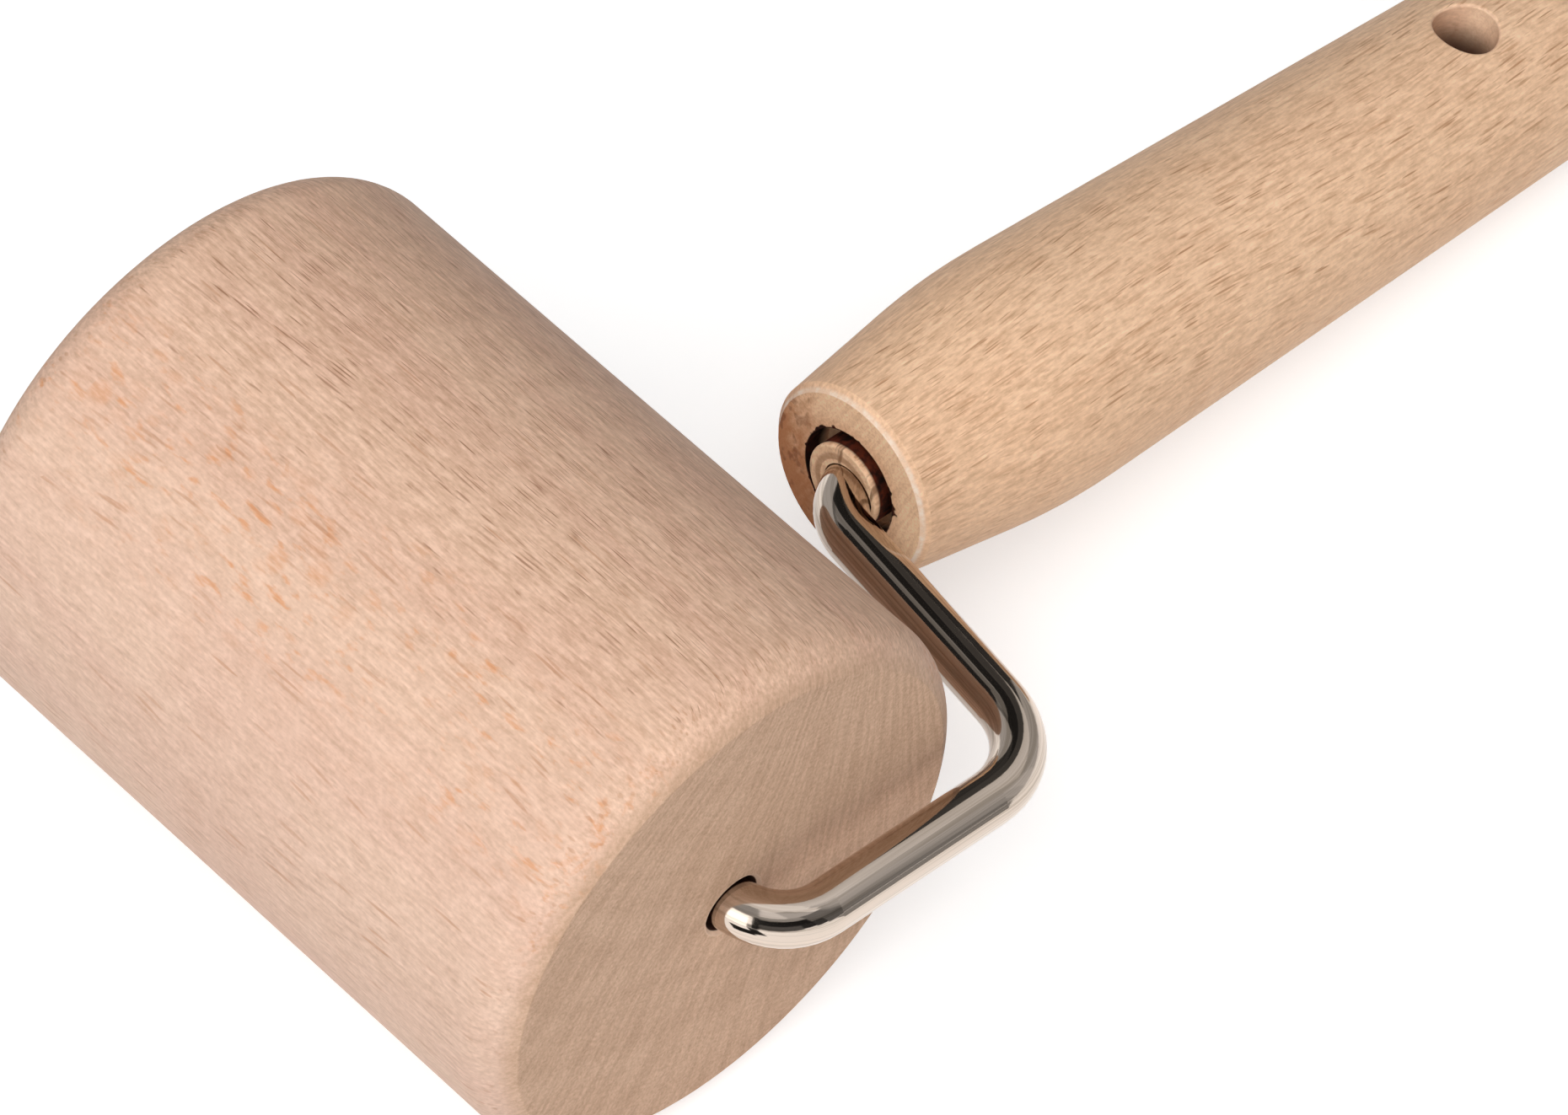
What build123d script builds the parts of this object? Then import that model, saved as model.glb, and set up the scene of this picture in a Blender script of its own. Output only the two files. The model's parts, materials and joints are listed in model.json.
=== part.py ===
from build123d import *
import os
from math import acos, asin, atan2, cos, degrees, hypot, radians, sin, tan

# A one-handed pastry roller. A beech roller spins on the long end of a bent wire arm, and
# the other end of the wire is glued into a turned beech handle. Sizes are in millimetres.
# The roller lies on the table with the handle's butt, so the tool leans a few degrees.

# Roller
roller_diameter = 60.0
roller_length = 77.4
roller_edge_radius = 5.2  # of the turned arc at each end
roller_edge_drop = 3.0  # from the side in to the end face's rim
roller_rim_softening = 0.4
axle_running_gap = 0.4  # radial, between the wire and the roller's bore
bore_mouth_chamfer = 0.4

# Wire arm
wire_diameter = 5.5
wire_end_chamfer = 0.6
roller_bend_radius = 6.5
roller_bend_sink = 1.0  # the first bend starts this far inside the roller's end face
side_bend_radius = 9.5
cross_leg_slope = 8.3  # degrees, the cross leg climbs to the handle
handle_bend_radius = 6.8
handle_bend_sink = 2.8  # the last bend ends this far inside the handle plug

# Handle
handle_offset = 7.1  # handle axis from the roller's middle, towards the side leg
handle_standoff = 45.7  # roller axis to the handle's front face
handle_length = 102.0
front_radius = 10.5
front_chamfer = 0.8
knee_radius = 13.15
knee_station = 20.0  # knee from the front face
knee_blend_radius = 80.0
butt_radius = 11.0
butt_edge_radius = 7.0
hanging_hole_diameter = 6.8
hanging_hole_station = 85.0  # hole axis from the front face
hanging_hole_rounding = 0.3

# Plug that holds the wire in the handle
handle_plug_diameter = 9.2
handle_plug_length = 36.0
handle_plug_proud = 0.9
handle_plug_rounding = 0.3
plug_mouth_diameter = 11.8  # wider mouth of the handle's bore, round the plug
plug_mouth_depth = 3.0
tang_depth = 30.0  # straight wire inside the plug
glue_gap = 0.1  # radial or end gap of every glued joint

# Fastening at the roller's far end
washer_width = 3.4  # from its hole to its rim
washer_thickness = 1.0
washer_bore_gap = 0.15
end_play = 0.3  # between the washer and the counterbore's floor
lock_ring_sheet = 0.5
lock_ring_rim_width = 1.7
lock_ring_grip_gap = 0.05
tooth_length = 1.2
tooth_rise = 0.9
tooth_count = 6
tooth_slot_width = 0.8
axle_overhang = 1.2  # wire past the lock ring's teeth
axle_end_gap = 0.8  # from the wire's end to the end plug
counterbore_gap = 0.9  # radial, around the washer
end_plug_thickness = 5.0
end_plug_chamfer = 0.3

# Radii and depths that follow from the sizes above
roller_radius = roller_diameter / 2
wire_radius = wire_diameter / 2
axle_bore_radius = wire_radius + axle_running_gap
washer_bore_radius = wire_radius + washer_bore_gap
washer_radius = washer_bore_radius + washer_width
counterbore_radius = washer_radius + counterbore_gap
grip_radius = wire_radius + lock_ring_grip_gap
dish_radius = grip_radius + tooth_length
lock_ring_radius = dish_radius + lock_ring_rim_width
lock_ring_height = lock_ring_sheet + tooth_rise
washer_inset = end_play + washer_thickness  # counterbore floor to the washer's outer face
axle_end_inset = washer_inset + lock_ring_height + axle_overhang
counterbore_depth = axle_end_inset + axle_end_gap + end_plug_thickness
handle_plug_radius = handle_plug_diameter / 2
handle_bore_depth = handle_plug_length - handle_plug_proud + glue_gap

# Lean of the tool: the butt's rounding and the roller touch the table together
side_taper = (knee_radius - butt_radius) / (handle_length - knee_station)
rounding_reach = handle_standoff + handle_length - butt_edge_radius
rounding_offset = butt_radius + butt_edge_radius * (side_taper - hypot(1, side_taper))
drop = roller_radius - butt_edge_radius
lean = asin(drop / hypot(rounding_reach, rounding_offset)) - atan2(rounding_offset, rounding_reach)

# The tool's own plane: X along the roller's axle, Y along the handle, on the roller's middle.
# The finished tool is centred on the origin and stands on the table.
side_leg_x = roller_length / 2 - roller_bend_sink + roller_bend_radius
side_leg_reach = side_leg_x + wire_radius - roller_length / 2
butt_reach = rounding_reach * cos(lean) + rounding_offset * sin(lean) + butt_edge_radius
roller_middle = Vector(-side_leg_reach / 2, (roller_radius - butt_reach) / 2, roller_radius)
tool = Plane(origin=roller_middle, x_dir=(1, 0, 0), z_dir=(0, sin(lean), cos(lean)))


def across_axle(x):
    """Plane across the axle at x from the roller's middle, facing the roller's far end."""
    return Plane(origin=tool.from_local_coords((x, 0, 0)), x_dir=tool.y_dir, z_dir=-tool.x_dir)


def handle_front(depth=0.0):
    """Plane of the handle's front face, facing the roller, or one that lies deeper."""
    centre = tool.from_local_coords((handle_offset, handle_standoff + depth, 0))
    return Plane(origin=centre, x_dir=tool.x_dir, z_dir=-tool.y_dir)


far_face = across_axle(-roller_length / 2)
counterbore_floor = far_face.offset(-counterbore_depth)
washer_face = counterbore_floor.offset(washer_inset)
axle = Axis(tool.origin, tool.x_dir)
handle_axis = Axis(handle_front().origin, tool.y_dir)


# Roller: a turned cylinder whose side curves in to each end face, bored through for the axle
# and counterbored at its far end. The edge's arc stops short of a quarter turn, at a soft rim.
edge_turn = degrees(acos(1 - roller_edge_drop / roller_edge_radius))
side_end = roller_length / 2 - roller_edge_radius * sin(radians(edge_turn))
edge_centre_height = roller_radius - roller_edge_radius

with BuildPart() as roller:
    with BuildSketch(tool) as roller_profile:
        with BuildLine():
            centre = (side_end, edge_centre_height)
            near_edge = CenterArc(centre, roller_edge_radius, 90, -edge_turn)
            centre = (-side_end, edge_centre_height)
            far_edge = CenterArc(centre, roller_edge_radius, 90, edge_turn)
            Line(near_edge @ 0, far_edge @ 0)
            near_foot = (roller_length / 2, 0)
            far_foot = (-roller_length / 2, 0)
            Polyline(near_edge @ 1, near_foot, far_foot, far_edge @ 1)
        make_face()
        ends = roller_profile.vertices().group_by(Axis.X)
        rims = [ends[0].sort_by(Axis.Y)[-1], ends[-1].sort_by(Axis.Y)[-1]]
        fillet(rims, roller_rim_softening)
    revolve(axis=axle)
    with Locations(far_face):
        CounterBoreHole(axle_bore_radius, counterbore_radius, counterbore_depth)
    bore_mouth = roller.edges().group_by(Axis.X)[-1].sort_by(SortBy.RADIUS)[0]
    chamfer(bore_mouth, bore_mouth_chamfer)
roller.part.label = "roller"

# Roller end plug: a wooden disc glued flush into the counterbore, over the axle's end
with BuildPart() as roller_end_plug:
    with BuildSketch(far_face):
        Circle(counterbore_radius - glue_gap)
    extrude(amount=-end_plug_thickness)
    chamfer(roller_end_plug.faces().sort_by(Axis.X)[0].edges(), end_plug_chamfer)
roller_end_plug.part.label = "roller_end_plug"

# Wire arm: axle, side leg, cross leg and the tang in the handle, bent from one round wire
plug_nose = handle_standoff - handle_plug_proud
tang_start = plug_nose + handle_bend_sink
last_turn = radians(90 - cross_leg_slope)
last_corner_y = tang_start - handle_bend_radius * tan(last_turn / 2)
cross_leg_climb = (side_leg_x - handle_offset) * tan(radians(cross_leg_slope))
side_corner = (side_leg_x, last_corner_y - cross_leg_climb)
last_corner = (handle_offset, last_corner_y)
axle_end_x = -roller_length / 2 + counterbore_depth - axle_end_inset
tang_end_y = plug_nose + tang_depth

with BuildPart() as wire_arm:
    with BuildLine(tool) as wire_path:
        FilletPolyline(
            (axle_end_x, 0),
            (side_leg_x, 0),
            side_corner,
            last_corner,
            (handle_offset, tang_end_y),
            radius=[roller_bend_radius, side_bend_radius, handle_bend_radius],
        )
    with BuildSketch(across_axle(axle_end_x)):
        Circle(wire_radius)
    sweep()
    axle_tip = wire_arm.faces().sort_by(Axis.X)[0]
    tang_tip = wire_arm.faces().sort_by(Axis.Y)[-1]
    chamfer(axle_tip.edges() + tang_tip.edges(), wire_end_chamfer)
wire_arm.part.label = "wire_arm"

# Washer: takes the roller's end thrust inside the counterbore
with BuildPart() as washer:
    with BuildSketch(washer_face):
        Circle(washer_radius)
        Circle(washer_bore_radius, mode=Mode.SUBTRACT)
    extrude(amount=-washer_thickness)
washer.part.label = "washer"

# Lock ring: a pressed steel ring whose raised teeth bite the axle and hold the washer on
with BuildPart() as lock_ring:
    with BuildSketch(tool):
        washer_x = -roller_length / 2 + counterbore_depth - washer_inset
        with BuildLine():
            Polyline(
                (washer_x, lock_ring_radius),
                (washer_x - lock_ring_sheet, lock_ring_radius),
                (washer_x - lock_ring_sheet, dish_radius),
                (washer_x - lock_ring_height, grip_radius),
                (washer_x - tooth_rise, grip_radius),
                (washer_x, dish_radius),
                close=True,
            )
        make_face()
    revolve(axis=axle)
    with BuildSketch(washer_face):
        with PolarLocations(dish_radius / 2, tooth_count):
            Rectangle(dish_radius, tooth_slot_width)
    extrude(amount=lock_ring_height, mode=Mode.SUBTRACT)
lock_ring.part.label = "lock_ring"

# Handle: turned, swelling to a soft knee and then tapering to a rounded butt
with BuildPart() as handle:
    handle_side = Plane(origin=handle_front().origin, x_dir=tool.x_dir, z_dir=tool.z_dir)
    with BuildSketch(handle_side) as handle_profile:
        with BuildLine():
            Polyline(
                (0, 0),
                (front_radius - front_chamfer, 0),
                (front_radius, front_chamfer),
                (knee_radius, knee_station),
                (butt_radius, handle_length),
                (0, handle_length),
                close=True,
            )
        make_face()
        fillet(handle_profile.vertices().sort_by(Axis.X)[-1], knee_blend_radius)
        fillet(handle_profile.vertices().group_by(Axis.Y)[-1].sort_by(Axis.X)[-1], butt_edge_radius)
    revolve(axis=handle_axis)
    with Locations(handle_front()):
        CounterBoreHole(
            handle_plug_radius + glue_gap,
            plug_mouth_diameter / 2,
            plug_mouth_depth,
            handle_bore_depth,
        )
    hole_middle = handle_side.from_local_coords((0, hanging_hole_station, 0))
    with Locations(Plane(origin=hole_middle, x_dir=tool.x_dir, z_dir=tool.z_dir)):
        Hole(hanging_hole_diameter / 2)
    hole_rims = handle.edges(Select.LAST).filter_by(GeomType.LINE, reverse=True)
    fillet(hole_rims, hanging_hole_rounding)
handle.part.label = "handle"

# Handle plug: a wooden dowel glued into the handle. Its bore takes the wire's tang, and the
# bore's mouth is cut to the wire's last bend.
with BuildPart() as handle_plug:
    with BuildSketch(handle_front(-handle_plug_proud)):
        Circle(handle_plug_radius)
    extrude(amount=-handle_plug_length)
    fillet(handle_plug.faces().sort_by(Axis.Y)[0].edges(), handle_plug_rounding)
    with BuildLine(tool) as bore_path:
        FilletPolyline(
            side_corner,
            last_corner,
            (handle_offset, plug_nose + handle_plug_length),
            radius=handle_bend_radius,
        )
    with BuildSketch(Plane(origin=bore_path.line @ 0, z_dir=bore_path.line % 0)):
        Circle(wire_radius + glue_gap)
    sweep(path=bore_path.line, mode=Mode.SUBTRACT)
handle_plug.part.label = "handle_plug"

os.makedirs("parts", exist_ok=True)
for piece in (roller, roller_end_plug, wire_arm, washer, lock_ring, handle, handle_plug):
    export_step(piece.part, f"parts/{piece.part.label}.step")
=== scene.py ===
"""A one-handed pastry roller.

A beech roller turns on a bent, nickel-plated wire arm, and the wire is held in a turned beech
handle.
"""
import json
import math

import bmesh
import bpy
from mathutils import Matrix, Vector


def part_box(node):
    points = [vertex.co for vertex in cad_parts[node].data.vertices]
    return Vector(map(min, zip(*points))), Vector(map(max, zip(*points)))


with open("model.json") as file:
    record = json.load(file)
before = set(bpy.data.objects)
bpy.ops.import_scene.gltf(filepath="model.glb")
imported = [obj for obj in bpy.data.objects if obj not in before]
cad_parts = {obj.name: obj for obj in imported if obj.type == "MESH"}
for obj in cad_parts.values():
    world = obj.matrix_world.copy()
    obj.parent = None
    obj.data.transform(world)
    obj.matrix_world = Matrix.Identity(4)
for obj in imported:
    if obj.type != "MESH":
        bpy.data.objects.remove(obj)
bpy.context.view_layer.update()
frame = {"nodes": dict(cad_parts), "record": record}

MM = 0.001
nodes = frame["nodes"]
scene = bpy.context.scene

# The tool's own directions: along the axle, square to the tool's flat, and along the handle
hanging_hole = next(m for m in frame["record"]["mounts"] if m["name"] == "hanging_hole")
along_axle = Vector((1, 0, 0))
tool_up = Vector(hanging_hole["axis"])
along_handle = tool_up.cross(along_axle)

# Places on the tool
roller_low, roller_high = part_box("roller")
axle_middle = (roller_low + roller_high) / 2
side_leg_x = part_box("wire_arm")[1].x
side_leg_middle = Vector((side_leg_x, axle_middle.y, axle_middle.z)) + along_handle * 20 * MM
hole_middle = Vector(hanging_hole["pos_m"])
front = min(v.co.dot(along_handle) for v in nodes["handle"].data.vertices)
handle_front = hole_middle + along_handle * (front - hole_middle.dot(along_handle))

# Sizes in mm that the finishes follow
hole_station = (hole_middle - handle_front).dot(along_handle) / MM  # from the front face
hole_radius = hanging_hole["dims"]["r_mm"]
arris_radius = 9.7  # inner edge of the front face's chamfer
mouth_radius = 5.9  # wide mouth of the handle's bore, round the plug
axle_bore_radius = 3.15
wire_radius = 2.75


# ---------------------------------------------------------------- node helpers


def put(tree, kind, inputs=None, **settings):
    """A new node with its settings, and its inputs set or linked by name or number."""
    made = tree.nodes.new(kind)
    for name, value in settings.items():
        setattr(made, name, value)
    for key, value in (inputs or {}).items():
        if isinstance(value, bpy.types.NodeSocket):
            tree.links.new(value, made.inputs[key])
        else:
            made.inputs[key].default_value = value
    return made


def calc(tree, operation, a, b=0.0, c=0.0):
    """Output of a Math node."""
    return put(tree, "ShaderNodeMath", {0: a, 1: b, 2: c}, operation=operation).outputs[0]


def times(tree, first, *others):
    """Values multiplied together."""
    for other in others:
        first = calc(tree, "MULTIPLY", first, other)
    return first


def swing(tree, value, reach, middle=0.0):
    """A noise's value turned into half that reach either side of a middle."""
    return calc(tree, "MULTIPLY_ADD", calc(tree, "SUBTRACT", value, 0.5), reach, middle)


def ramp(tree, value, start, end, low=0.0, high=1.0, smooth=True):
    """Value moved from the range start..end to low..high, and held at both ends."""
    kind = "SMOOTHSTEP" if smooth else "LINEAR"
    inputs = {"Value": value, "From Min": start, "From Max": end, "To Min": low, "To Max": high}
    return put(tree, "ShaderNodeMapRange", inputs, interpolation_type=kind).outputs[0]


def blend(tree, factor, a, b, kind="MIX"):
    """Colour a with colour b laid over it by factor."""
    # A Mix node has sockets for each kind of data. Those of its two colours are 6 and 7.
    inputs = {0: factor, 6: a, 7: b}
    return put(tree, "ShaderNodeMix", inputs, data_type="RGBA", blend_type=kind).outputs[2]


def split(tree, vector):
    """The three numbers of a vector."""
    return put(tree, "ShaderNodeSeparateXYZ", {0: vector}).outputs


def join(tree, x, y, z):
    """A vector from three numbers."""
    return put(tree, "ShaderNodeCombineXYZ", {0: x, 1: y, 2: z}).outputs[0]


def vector_calc(tree, operation, a, b=(0, 0, 0)):
    """Output of a Vector Math node, which is a number for a length or a dot product."""
    made = put(tree, "ShaderNodeVectorMath", {0: a, 1: b}, operation=operation)
    return made.outputs["Value" if operation in ("LENGTH", "DOT_PRODUCT") else "Vector"]


def from_axis(tree, point):
    """Distance of a point from the X axis."""
    return vector_calc(tree, "LENGTH", vector_calc(tree, "MULTIPLY", point, (0, 1, 1)))


def stretch(tree, vector, scale, shift=(0, 0, 0)):
    """A vector scaled along each of its axes, and then shifted."""
    inputs = {"Vector": vector, "Scale": scale, "Location": shift}
    return put(tree, "ShaderNodeMapping", inputs).outputs[0]


def noise(tree, vector, scale, shift=(0, 0, 0), detail=2.0, roughness=0.5):
    """A noise from 0 to 1, with one scale or one for each axis."""
    if isinstance(scale, tuple):
        vector, scale = stretch(tree, vector, scale, shift), 1.0
    inputs = {"Vector": vector, "Scale": scale, "Detail": detail, "Roughness": roughness}
    return put(tree, "ShaderNodeTexNoise", inputs).outputs[0]


def group(name, inputs, outputs):
    """A shader node group with named sockets. Returns it with its input and output nodes."""
    tree = bpy.data.node_groups.new(name, "ShaderNodeTree")
    for socket, kind, value in inputs:
        made = tree.interface.new_socket(socket, in_out="INPUT", socket_type=kind)
        if value is not None:
            made.default_value = value
    for socket, kind in outputs:
        tree.interface.new_socket(socket, in_out="OUTPUT", socket_type=kind)
    return tree, tree.nodes.new("NodeGroupInput"), tree.nodes.new("NodeGroupOutput")


def srgb(red, green, blue):
    """A colour given in 0..255 as it is seen, turned linear for a shader."""

    def linear(value):
        value /= 255
        return value / 12.92 if value <= 0.04045 else ((value + 0.055) / 1.055) ** 2.4

    return (linear(red), linear(green), linear(blue), 1.0)


WHITE = (1, 1, 1, 1)


# ---------------------------------------------------------------- camera


def direction(azimuth, elevation):
    """Unit vector at an azimuth from the roller's front, towards the wire's side, in degrees."""
    turn, rise = math.radians(azimuth), math.radians(elevation)
    flat = math.cos(rise)
    return Vector((math.sin(turn) * flat, -math.cos(turn) * flat, math.sin(rise)))


camera_azimuth = 44.26  # degrees, as the elevation and the roll
camera_elevation = 52.99
camera_roll = math.radians(2.8)
camera_distance = 0.9097
aim = axle_middle + along_axle * 10.3 * MM + along_handle * 33.9 * MM

camera_back = direction(camera_azimuth, camera_elevation)
level_right = direction(camera_azimuth + 90, 0)
level_up = camera_back.cross(level_right)
camera_right = level_right * math.cos(camera_roll) + level_up * math.sin(camera_roll)
camera_turn = Matrix((camera_right, camera_back.cross(camera_right), camera_back)).transposed()

camera_data = bpy.data.cameras.new("camera")
camera_data.sensor_fit = "HORIZONTAL"
camera_data.sensor_width = 36.0  # mm
camera_data.lens = 218.65  # mm
camera_data.clip_start = 0.02
camera_data.clip_end = 20.0
camera = bpy.data.objects.new("camera", camera_data)
camera_place = Matrix.Translation(aim + camera_back * camera_distance)
camera.matrix_world = camera_place @ camera_turn.to_4x4()
scene.collection.objects.link(camera)
scene.camera = camera
scene.view_settings.view_transform = "Standard"


# ---------------------------------------------------------------- floor, light and backdrop


def stage_piece(name, made, material):
    """An object of the studio, from a bmesh and a material."""
    mesh = bpy.data.meshes.new(name)
    made.to_mesh(mesh)
    made.free()
    mesh.materials.append(material)
    piece = bpy.data.objects.new(name, mesh)
    scene.collection.objects.link(piece)
    return piece


def world_light():
    """A white surround that the camera and the metal see, over a soft even fill."""
    fill = 0.11
    world = bpy.data.worlds.new("studio")
    scene.world = world
    world.use_nodes = True
    tree = world.node_tree
    tree.nodes.clear()
    rays = put(tree, "ShaderNodeLightPath").outputs
    seen = calc(tree, "MAXIMUM", rays["Is Camera Ray"], rays["Is Glossy Ray"])
    seen = calc(tree, "MAXIMUM", seen, rays["Is Transmission Ray"])
    strength = ramp(tree, seen, 0, 1, fill, 1.0, smooth=False)
    shown = put(tree, "ShaderNodeBackground", {"Color": WHITE, "Strength": strength})
    put(tree, "ShaderNodeOutputWorld", {"Surface": shown.outputs[0]})


def soft_box(name, azimuth, elevation, strength):
    """A square lamp that lights the wood. The metal sees the cards instead."""
    distance = 1.6
    light = bpy.data.lights.new(name, "AREA")
    light.size = 1.7
    light.energy = strength
    towards = direction(azimuth, elevation)
    place = Vector((0, 0, roller_high.z / 2)) + towards * distance
    turn = towards.to_track_quat("Z", "Y").to_matrix().to_4x4()
    lamp = bpy.data.objects.new(name, light)
    lamp.matrix_world = Matrix.Translation(place) @ turn
    lamp.visible_glossy = False
    scene.collection.objects.link(lamp)


def card(name, azimuths, elevations, shade):
    """A curved card round the wire, between those degrees. Only shiny surfaces see it.

    Below the wire's level it lies on the table.
    """
    distance = 1.5
    lift = 0.5 * MM
    (first, last), (low, high) = azimuths, elevations
    made = bmesh.new()
    bmesh.ops.create_grid(made, x_segments=12, y_segments=8, size=0.5)
    for corner in made.verts:
        across, up = corner.co.x + 0.5, corner.co.y + 0.5
        towards = direction(first + (last - first) * across, low + (high - low) * up)
        reach = distance
        if towards.z < 0:
            reach = min(distance, (side_leg_middle.z - lift) / -towards.z)
        corner.co = side_leg_middle + towards * reach
    material = bpy.data.materials.new(name)
    material.use_nodes = True
    tree = material.node_tree
    tree.nodes.clear()
    glow = put(tree, "ShaderNodeEmission", {"Color": WHITE, "Strength": shade})
    put(tree, "ShaderNodeOutputMaterial", {"Surface": glow.outputs[0]})
    board = stage_piece(name, made, material)
    for ray in ("camera", "diffuse", "shadow", "transmission", "volume_scatter"):
        setattr(board, "visible_" + ray, False)


def pale_floor():
    """The table: pale and matt. It shows white around the tool and keeps its shadow."""
    glow = 0.5  # added for the camera and for the metal
    made = bmesh.new()
    bmesh.ops.create_grid(made, x_segments=1, y_segments=1, size=4.0)
    material = bpy.data.materials.new("pale_table")
    material.use_nodes = True
    tree = material.node_tree
    shader = tree.nodes["Principled BSDF"]
    shader.inputs["Base Color"].default_value = (0.82, 0.82, 0.82, 1)
    shader.inputs["Roughness"].default_value = 1.0
    shader.inputs["Specular IOR Level"].default_value = 0.0
    shader.inputs["Emission Color"].default_value = WHITE
    rays = put(tree, "ShaderNodeLightPath").outputs
    seen = calc(tree, "MAXIMUM", rays["Is Camera Ray"], rays["Is Glossy Ray"])
    tree.links.new(times(tree, seen, glow), shader.inputs["Emission Strength"])
    stage_piece("table", made, material)


world_light()
pale_floor()
soft_box("key_light", azimuth=41, elevation=45, strength=15.6)
soft_box("top_light", azimuth=12, elevation=60, strength=14.4)
soft_box("back_light", azimuth=180, elevation=68, strength=1.8)

# The room that the wire mirrors: each card's azimuths, elevations and brightness
for name, azimuths, elevations, shade in (
    ("bright_front", (-14, 20), (1, 46), 2.2),
    ("bright_front_edge", (20, 25), (14, 46), 1.4),
    ("grey_front_edge", (20, 25), (1, 14), 0.4),
    ("dark_mat_front", (0, 20), (-19, -8), 0.02),
    ("dark_mat_gap", (20, 31), (-16, 0), 0.02),
    ("dark_gap", (25, 33), (1, 46), 0.02),
    ("grey_above_front", (-14, 33), (46, 80), 0.35),
    ("dim_room", (33, 78), (5, 23), 0.11),
    ("dark_room_end", (78, 92), (8, 23), 0.03),
    ("dark_room", (33, 92), (23, 42), 0.02),
    ("grey_above_room", (33, 92), (42, 53), 0.4),
    ("cream_ceiling", (33, 75), (53, 76), 0.85),
    ("grey_ceiling", (75, 120), (53, 76), 0.55),
    ("dark_side", (92, 104), (5, 28), 0.05),
    ("dim_side_low", (104, 122), (1, 28), 0.14),
    ("dim_side", (92, 122), (28, 53), 0.2),
    ("dim_mat_side", (110, 130), (-15, 0), 0.3),
    ("dim_post", (122, 126), (1, 53), 0.24),
    ("grey_post", (126, 132), (1, 53), 0.38),
    ("grey_wall", (132, 142), (1, 57), 0.5),
    ("pale_wall", (142, 157), (1, 64), 0.6),
    ("pale_back_low", (157, 199), (1, 30), 0.5),
    ("pale_back", (157, 206), (30, 66), 0.82),
    ("dim_corner", (-161, -133), (1, 30), 0.04),
    ("dim_corner_high", (-154, -133), (30, 66), 0.08),
    ("dark_left", (-133, -97), (34, 66), 0.02),
    ("dark_left_low", (-133, -116), (1, 34), 0.05),
    ("grey_slot", (-97, -71), (40, 66), 0.24),
    ("dark_far_left", (-71, -45), (40, 66), 0.02),
    ("grey_left", (-116, -50), (1, 34), 0.45),
    ("dim_left", (-97, -50), (34, 40), 0.15),
):
    card(name, azimuths, elevations, shade)


# ---------------------------------------------------------------- materials


def new_material(name):
    """A material, its node tree and its Principled shader."""
    material = bpy.data.materials.new(name)
    material.use_nodes = True
    tree = material.node_tree
    return material, tree, tree.nodes["Principled BSDF"]


def dress(node, material):
    """Puts a CAD node in its material."""
    mesh = nodes[node].data
    mesh.materials.clear()
    mesh.materials.append(material)


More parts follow.
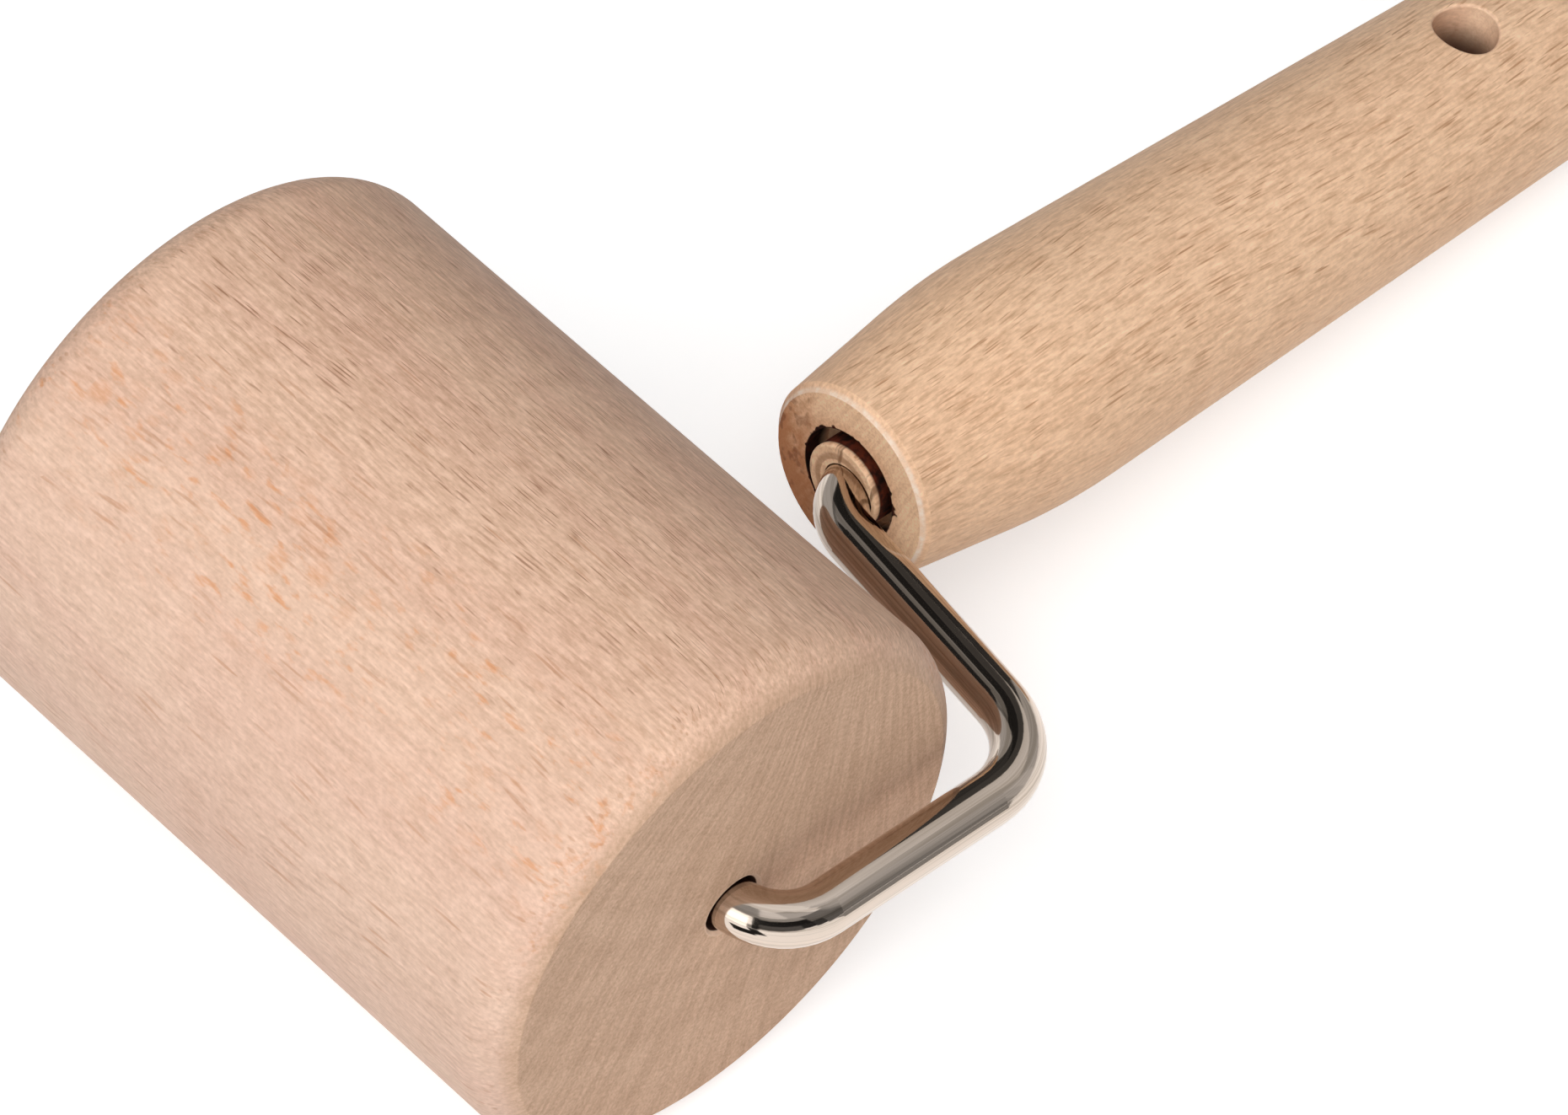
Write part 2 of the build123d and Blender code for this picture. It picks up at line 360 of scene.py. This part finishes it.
def beech_group():
    """Beech, from a point in mm whose X runs along the grain and whose origin is the pith.

    The wood's rays are thin plates that stand along the grain and point at the pith. Where the
    cut is square to them their ends are fine dark dashes, and where it runs along them their
    sides are orange flecks. Pores streak the wood, and across the grain they are specks.
    """
    colour, number, vector = "NodeSocketColor", "NodeSocketFloat", "NodeSocketVector"
    tree, inside, outside = group(
        "beech",
        [
            ("Vector", vector, None),
            ("Normal", vector, None),
            ("Pith Distance", number, 70.0),
            ("Wood", colour, (0.8, 0.55, 0.4, 1)),
            ("Blush", colour, (0.8, 0.5, 0.35, 1)),
            ("Heart Tint", colour, WHITE),
            ("Outer Tint", colour, WHITE),
            ("Dash", colour, (0.3, 0.15, 0.08, 1)),
            ("Ray", colour, (0.7, 0.35, 0.15, 1)),
            ("End Wood", colour, (0.5, 0.32, 0.2, 1)),
            ("Dash Amount", number, 0.5),
            ("Ray Amount", number, 0.5),
        ],
        [("Color", colour), ("Roughness", number), ("Height", number), ("End Grain", number)],
    )
    given = inside.outputs
    point, normal, pith_distance = given["Vector"], given["Normal"], given["Pith Distance"]

    # The grain's own coordinates: along it, round the pith and out from it, with a little wander
    along, across, up = split(tree, point)
    radius = from_axis(tree, point)
    wander = swing(tree, noise(tree, point, (0.018, 0.04, 0.04), detail=1.0), 7.0)
    around = calc(tree, "ARCTAN2", up, across)
    around = calc(tree, "MULTIPLY_ADD", around, pith_distance, wander)
    grain = join(tree, along, around, calc(tree, "ADD", radius, wander))

    # How the surface cuts the grain: flat-sawn, with flatness 1, or across it, as end grain
    outwards = vector_calc(tree, "NORMALIZE", join(tree, 0.0, across, up))
    facing_out = vector_calc(tree, "DOT_PRODUCT", normal, outwards)
    flatness = calc(tree, "ABSOLUTE", facing_out)
    tilt = calc(tree, "ABSOLUTE", split(tree, normal)[0])
    end_grain = ramp(tree, tilt, 0.62, 0.95)
    side_grain = calc(tree, "SUBTRACT", 1.0, end_grain)

    def flecks(length, width, depth, size, share, seed):
        """Flecks of uneven strength, one to a cell of those mm, in that share of the cells."""
        at = stretch(tree, grain, (1 / length, 1 / width, 1 / depth), (seed, seed, seed))
        cells = put(tree, "ShaderNodeTexVoronoi", {"Vector": at, "Scale": 1.0}).outputs
        picked = put(tree, "ShaderNodeSeparateColor", {0: cells["Color"]}).outputs
        strength = ramp(tree, picked[0], share, 0.0, smooth=False)
        reach = ramp(tree, picked[1], 0, 1, size * 0.6, size, smooth=False)
        shape = ramp(tree, cells["Distance"], reach, times(tree, reach, 0.45))
        return times(tree, shape, strength)

    # Broad figure follows the grain, and fine fibre lies straight along the piece
    broad = noise(tree, grain, (0.03, 0.12, 0.12))
    patchy = noise(tree, grain, (0.05, 0.2, 0.2), (7, 3, 5), detail=1.0)
    rings = noise(tree, grain, (0.004, 0.006, 0.6), roughness=0.6)
    ray_lines = noise(tree, grain, (0.2, 1.3, 0.1), roughness=0.6)
    fibre = noise(tree, point, (0.4, 2.4, 2.4), detail=3.0, roughness=0.6)
    streaks = noise(tree, point, (0.32, 2.3, 2.3), (5, 9, 2), detail=1.0)
    speckle = noise(tree, point, (1.6, 2.4, 2.4))
    ray_sides = noise(tree, point, (0.42, 0.95, 0.95), (3, 1, 7), detail=3.0)
    pores = noise(tree, point, (0.3, 3.4, 3.4), detail=3.0, roughness=0.7)

    # Colour of the plain wood, which changes from the heart outwards
    wood_now = blend(tree, ramp(tree, broad, 0.38, 0.64), given["Wood"], given["Blush"])
    growth = ramp(tree, calc(tree, "DIVIDE", radius, pith_distance), 0.4, 1.35)
    tint = blend(tree, growth, given["Heart Tint"], given["Outer Tint"])
    wood_now = blend(tree, 1.0, wood_now, tint, "MULTIPLY")
    wood_now = blend(tree, end_grain, wood_now, given["End Wood"])

    # Light and dark of fibre, rings and rays, redder where it is darker
    grip = ramp(tree, facing_out, 0.3, -0.6, 0.7, 1.15)
    side_shade = swing(tree, fibre, times(tree, grip, -0.7), 1.0)
    side_shade = times(tree, side_shade, ramp(tree, rings, 0.35, 0.7, 1.01, 0.98))
    end_shade = ramp(tree, ray_lines, 0.35, 0.65, 1.07, 0.93)
    end_shade = times(tree, end_shade, ramp(tree, rings, 0.3, 0.7, 1.03, 0.965))
    end_shade = times(tree, end_shade, ramp(tree, pores, 0.35, 0.7, 1.07, 0.9))
    shade = put(tree, "ShaderNodeMix", {0: end_grain, 2: side_shade, 3: end_shade}).outputs[0]
    shade = times(tree, shade, ramp(tree, speckle, 0.3, 0.7, 0.95, 1.05))
    green, blue = calc(tree, "POWER", shade, 1.25), calc(tree, "POWER", shade, 1.5)
    shade = put(tree, "ShaderNodeCombineColor", {0: shade, 1: green, 2: blue}).outputs[0]
    wood_now = blend(tree, 1.0, wood_now, shade, "MULTIPLY")

    # Orange sides of the rays
    rays = calc(
        tree,
        "MAXIMUM",
        flecks(4.2, 0.8, 5.0, size=0.55, share=0.5, seed=4.3),
        flecks(3.6, 0.5, 2.4, size=0.5, share=0.4, seed=2.9),
    )
    rays = calc(tree, "MAXIMUM", times(tree, rays, 0.7), ramp(tree, ray_sides, 0.53, 0.7))
    rays = times(tree, rays, ramp(tree, flatness, 0.42, 0.12), side_grain)
    rays = times(tree, rays, ramp(tree, fibre, 0.36, 0.62, 0.4, 1.0))
    rays = times(tree, rays, ramp(tree, patchy, 0.4, 0.56, 0.35, 1.0), given["Ray Amount"])
    wood_now = blend(tree, rays, wood_now, given["Ray"])

    # Dark dashes of the rays' ends, with streaks of pores between them
    dashes = calc(
        tree,
        "MAXIMUM",
        flecks(5.6, 0.32, 2.2, size=0.5, share=0.5, seed=1.7),
        flecks(3.6, 0.3, 1.8, size=0.5, share=0.45, seed=9.1),
    )
    dashes = times(tree, dashes, ramp(tree, flatness, 0.3, 0.62))
    dashes = calc(tree, "MAXIMUM", dashes, ramp(tree, streaks, 0.64, 0.86))
    dashes = times(tree, dashes, ramp(tree, patchy, 0.36, 0.6, 0.75, 1.0))
    dashes = times(tree, dashes, ramp(tree, facing_out, 0.3, -0.6, 0.3, 1.0))
    dashes = times(tree, dashes, ramp(tree, tilt, 0.5, 0.2), given["Dash Amount"])
    wood_now = blend(tree, dashes, wood_now, given["Dash"])

    # Long warm dashes, few and all over the side grain
    stray = flecks(6.5, 0.5, 0.5, size=0.55, share=0.3, seed=6.6)
    stray = times(tree, stray, side_grain, 0.5)
    wood_now = blend(tree, stray, wood_now, blend(tree, 0.4, given["Dash"], given["Ray"]))

    rough = ramp(tree, pores, 0.3, 0.7, 0.56, 0.68)
    high = calc(tree, "MULTIPLY_ADD", pores, -0.02, times(tree, dashes, -0.03))
    made = (("Color", wood_now), ("Roughness", rough), ("Height", high), ("End Grain", end_grain))
    for name, value in made:
        tree.links.new(value, outside.inputs[name])
    return tree


def piece_frame(tree, middle, axis):
    """Object coordinates and normal as the piece has them: mm from its middle, X along its axis.

    Its Z points up, square to the tool's flat, and its Y across.
    """
    turn = Matrix((axis, tool_up.cross(axis), tool_up)).to_euler()
    here = put(tree, "ShaderNodeTexCoord").outputs
    moved = stretch(tree, here["Object"], (1, 1, 1), -middle)
    inputs = {"Vector": moved, "Rotation": turn, "Scale": (1 / MM, 1 / MM, 1 / MM)}
    point = put(tree, "ShaderNodeMapping", inputs).outputs[0]
    inputs = {"Vector": here["Normal"], "Rotation": turn}
    normal = put(tree, "ShaderNodeMapping", inputs, vector_type="VECTOR").outputs[0]
    return point, normal


def wood(name, beech, axis, middle, pith, look, marks_and_painted_light=None):
    """A beech material for one turned piece, with the grain along its axis.

    The pith is where the heart of the tree lay: its angle in degrees from straight up, towards
    the roller's front or the wire's side, and its distance from the piece's axis in mm. The look
    is the group's own values. Marks and painted light go over the wood and return its colour and
    roughness.
    """
    material, tree, shader = new_material(name)
    point, normal = piece_frame(tree, middle, axis)
    turn, distance = math.radians(pith[0]), pith[1]
    from_pith = (0, math.sin(turn) * distance, -math.cos(turn) * distance)
    inputs = {
        "Vector": stretch(tree, point, (1, 1, 1), from_pith),
        "Normal": normal,
        "Pith Distance": distance,
        **look,
    }
    made = put(tree, "ShaderNodeGroup", inputs, node_tree=beech).outputs
    colour, rough = made["Color"], made["Roughness"]
    if marks_and_painted_light:
        colour, rough = marks_and_painted_light(tree, colour, rough, point, made["End Grain"])
    inputs = {"Height": made["Height"], "Distance": MM, "Strength": 0.6}
    bump = put(tree, "ShaderNodeBump", inputs).outputs[0]
    tree.links.new(colour, shader.inputs["Base Color"])
    tree.links.new(rough, shader.inputs["Roughness"])
    tree.links.new(bump, shader.inputs["Normal"])
    shader.inputs["Specular IOR Level"].default_value = 0.3
    return material


def handle_stain_and_painted_light(tree, colour, rough, point, end_grain):
    """Stain and painted shade on the front, a painted highlight on its arris, glue and painted
    shade round the plug, painted light and shade in the hole.
    """
    along, across, up = split(tree, point)
    radius = from_axis(tree, point)
    blots = noise(tree, point, 0.7, detail=4.0, roughness=0.75)
    ragged = noise(tree, point, 0.5, roughness=0.6)
    at_front = ramp(tree, along, 3.5, 1.5)  # the front face, and the mouth to its floor
    front_grain = times(tree, at_front, end_grain)

    # Stain and painted shade of the roller, darker towards the low side of the front face, with
    # darker spots, and glue soaked in round the bore
    stain_and_painted_shade = calc(tree, "MULTIPLY_ADD", up, -0.6, across)
    stain_and_painted_shade = ramp(tree, swing(tree, blots, 12.0, stain_and_painted_shade), 0.0, 10.0)
    stain_and_painted_shade = times(tree, stain_and_painted_shade, 0.85, front_grain)
    colour = blend(tree, stain_and_painted_shade, colour, srgb(186, 118, 70))
    spots = times(tree, stain_and_painted_shade, ramp(tree, ragged, 0.54, 0.62, 0.0, 0.6))
    colour = blend(tree, spots, colour, srgb(112, 52, 28))
    soaked = ramp(tree, radius, mouth_radius + 1.7, mouth_radius + 0.5, 0.0, 0.25)
    colour = blend(tree, times(tree, soaked, front_grain), colour, srgb(196, 128, 82))

    # Painted highlight: a pale line along the front's arris
    arris_highlight = ramp(tree, radius, arris_radius - 0.1, arris_radius + 0.05)
    arris_highlight = times(tree, arris_highlight, ramp(tree, radius, arris_radius + 0.5, arris_radius + 0.2))
    arris_highlight = times(tree, arris_highlight, ramp(tree, along, 1.1, 0.7))
    arris_highlight = times(tree, arris_highlight, ramp(tree, blots, 0.35, 0.62, 1.0, 0.3))
    colour = blend(tree, arris_highlight, colour, srgb(255, 236, 218))

    # Hanging hole: painted light on the wall at its mouth, painted shade further in
    from_hole = calc(tree, "SUBTRACT", along, hole_station)
    from_hole = from_axis(tree, join(tree, 0.0, across, from_hole))
    in_hole = ramp(tree, from_hole, hole_radius + 0.25, hole_radius + 0.1)
    colour = blend(tree, times(tree, in_hole, 0.35), colour, srgb(236, 196, 172))
    hole_painted_shade = times(tree, in_hole, ramp(tree, up, 9.6, 4.6, 0.0, 0.9))
    colour = blend(tree, hole_painted_shade, colour, srgb(84, 46, 26))

    # Mouth round the plug: dark with glue and painted shade of the groove, its edge torn outwards
    # in places
    torn = mouth_radius + 0.08
    torn = calc(tree, "MAXIMUM", swing(tree, ragged, 2.4, torn), torn)
    glue_and_painted_shade = ramp(tree, calc(tree, "SUBTRACT", torn, radius), -0.1, 0.05)
    glue_and_painted_shade = times(tree, glue_and_painted_shade, at_front)
    dark = blend(tree, ramp(tree, blots, 0.35, 0.6), srgb(62, 22, 10), srgb(24, 10, 6))
    return blend(tree, glue_and_painted_shade, colour, dark), calc(tree, "MAXIMUM", rough, glue_and_painted_shade)


def roller_painted_bore_light(tree, colour, rough, point, end_grain):
    """Painted shade darkens the bore, and painted light pales its mouth."""
    radius = from_axis(tree, point)
    # Painted light on the bore's mouth, and painted shade inside the bore
    mouth_painted_light = ramp(tree, radius, axle_bore_radius + 0.6, axle_bore_radius + 0.35)
    colour = blend(tree, times(tree, mouth_painted_light, 0.6), colour, srgb(244, 214, 188))
    bore_painted_shade = ramp(tree, radius, axle_bore_radius + 0.13, axle_bore_radius + 0.03)
    return blend(tree, bore_painted_shade, colour, srgb(62, 36, 24)), calc(tree, "MAXIMUM", rough, bore_painted_shade)


def plug_glue_and_painted_shade(tree, colour, rough, point, end_grain):
    """The plug's side is dark with glue and painted shade, its sawn end has a few dark lines, and
    painted shade rings the wire.
    """
    lines = noise(tree, point, (0.05, 0.9, 0.12), roughness=0.6)
    colour = blend(tree, ramp(tree, lines, 0.56, 0.68, 0.0, 0.7), colour, srgb(112, 70, 42))
    radius = from_axis(tree, point)
    # Painted shade round the wire where it leaves the plug
    wire_painted_shade = ramp(tree, radius, wire_radius + 0.15, wire_radius + 0.35)
    wire_painted_shade = times(tree, wire_painted_shade, ramp(tree, radius, wire_radius + 1.15, wire_radius + 0.75, 0.0, 0.55))
    colour = blend(tree, wire_painted_shade, colour, srgb(150, 98, 60))
    # Glue and painted shade darken the plug's side down in the groove
    side_glue_and_shade = calc(tree, "SUBTRACT", 1.0, ramp(tree, end_grain, 0.0, 0.3))
    side_glue_and_shade = times(tree, side_glue_and_shade, ramp(tree, split(tree, point)[0], -0.55, -0.2))  # not on its nose
    blots = noise(tree, point, 0.9, detail=3.0)
    dark = blend(tree, ramp(tree, blots, 0.35, 0.65), srgb(96, 38, 18), srgb(30, 12, 8))
    return blend(tree, side_glue_and_shade, colour, dark), calc(tree, "MAXIMUM", rough, side_glue_and_shade)


def nickel():
    """Bright nickel plate over drawn wire, a little warm, with the fine lines of the drawing."""
    material, tree, shader = new_material("nickel_plate")
    here = put(tree, "ShaderNodeTexCoord").outputs["Object"]
    height = vector_calc(tree, "DOT_PRODUCT", here, tool_up / MM)
    lines = join(tree, 0.0, 0.0, times(tree, height, 3.2))
    lines = vector_calc(tree, "ADD", stretch(tree, here, (12, 12, 0)), lines)
    drawn = noise(tree, lines, 1.0, detail=3.0, roughness=0.7)
    cloud = noise(tree, here, 320.0, detail=3.0)
    brown, bright = (0.45, 0.37, 0.30, 1), (0.66, 0.56, 0.48, 1)
    colour = blend(tree, ramp(tree, drawn, 0.3, 0.55), brown, bright)
    tree.links.new(colour, shader.inputs["Base Color"])
    tree.links.new(ramp(tree, cloud, 0.2, 0.8, 0.06, 0.11), shader.inputs["Roughness"])
    shader.inputs["Metallic"].default_value = 1.0
    return material


def bloom_group():
    """The dull bloom of zinc plate."""
    colour, number, vector = "NodeSocketColor", "NodeSocketFloat", "NodeSocketVector"
    tree, inside, outside = group(
        "zinc_bloom",
        [("Vector", vector, None), ("Scale", number, 600.0)],
        [("Color", colour), ("Roughness", number)],
    )
    given = inside.outputs
    bloom = noise(tree, given["Vector"], given["Scale"], detail=4.0, roughness=0.6)
    plate = blend(tree, bloom, (0.50, 0.52, 0.55, 1), (0.72, 0.74, 0.76, 1))
    tree.links.new(plate, outside.inputs["Color"])
    tree.links.new(ramp(tree, bloom, 0.3, 0.7, 0.28, 0.45), outside.inputs["Roughness"])
    return tree


def zinc(name, bloom, scale):
    """Zinc plate on a small pressed piece."""
    material, tree, shader = new_material(name)
    here = put(tree, "ShaderNodeTexCoord").outputs["Object"]
    inputs = {"Vector": here, "Scale": scale}
    made = put(tree, "ShaderNodeGroup", inputs, node_tree=bloom).outputs
    tree.links.new(made["Color"], shader.inputs["Base Color"])
    tree.links.new(made["Roughness"], shader.inputs["Roughness"])
    shader.inputs["Metallic"].default_value = 1.0
    return material


roller_look = {
    "Wood": srgb(232, 194, 169),
    "Blush": srgb(229, 189, 165),
    "Heart Tint": (1.0, 0.98, 0.94, 1),
    "Outer Tint": (0.98, 1.02, 1.06, 1),
    "Dash": srgb(156, 106, 78),
    "Ray": srgb(226, 156, 106),
    "End Wood": srgb(212, 174, 145),
    "Dash Amount": 0.85,
    "Ray Amount": 0.8,
}
handle_look = {
    "Wood": srgb(246, 204, 167),
    "Blush": srgb(243, 200, 163),
    "Dash": srgb(178, 124, 84),
    "Ray": srgb(218, 156, 110),
    "End Wood": srgb(255, 218, 180),
    "Dash Amount": 0.8,
    "Ray Amount": 0.42,
}
beech = beech_group()
for node, name, axis, middle, pith, look, marks_and_painted_light in (
    ("roller", "roller_beech", along_axle, axle_middle, (-15, 52), roller_look, roller_painted_bore_light),
    ("handle", "handle_beech", along_handle, handle_front, (20, 90), handle_look, handle_stain_and_painted_light),
    ("handle_plug", "plug_beech", along_handle, handle_front, (60, 40), handle_look, plug_glue_and_painted_shade),
    ("roller_end_plug", "end_plug_beech", along_axle, axle_middle, (100, 40), roller_look, None),
):
    dress(node, wood(name, beech, axis, middle, pith, look, marks_and_painted_light))
dress("wire_arm", nickel())
bloom = bloom_group()
dress("washer", zinc("zinc_washer", bloom, 500.0))
dress("lock_ring", zinc("zinc_ring", bloom, 700.0))
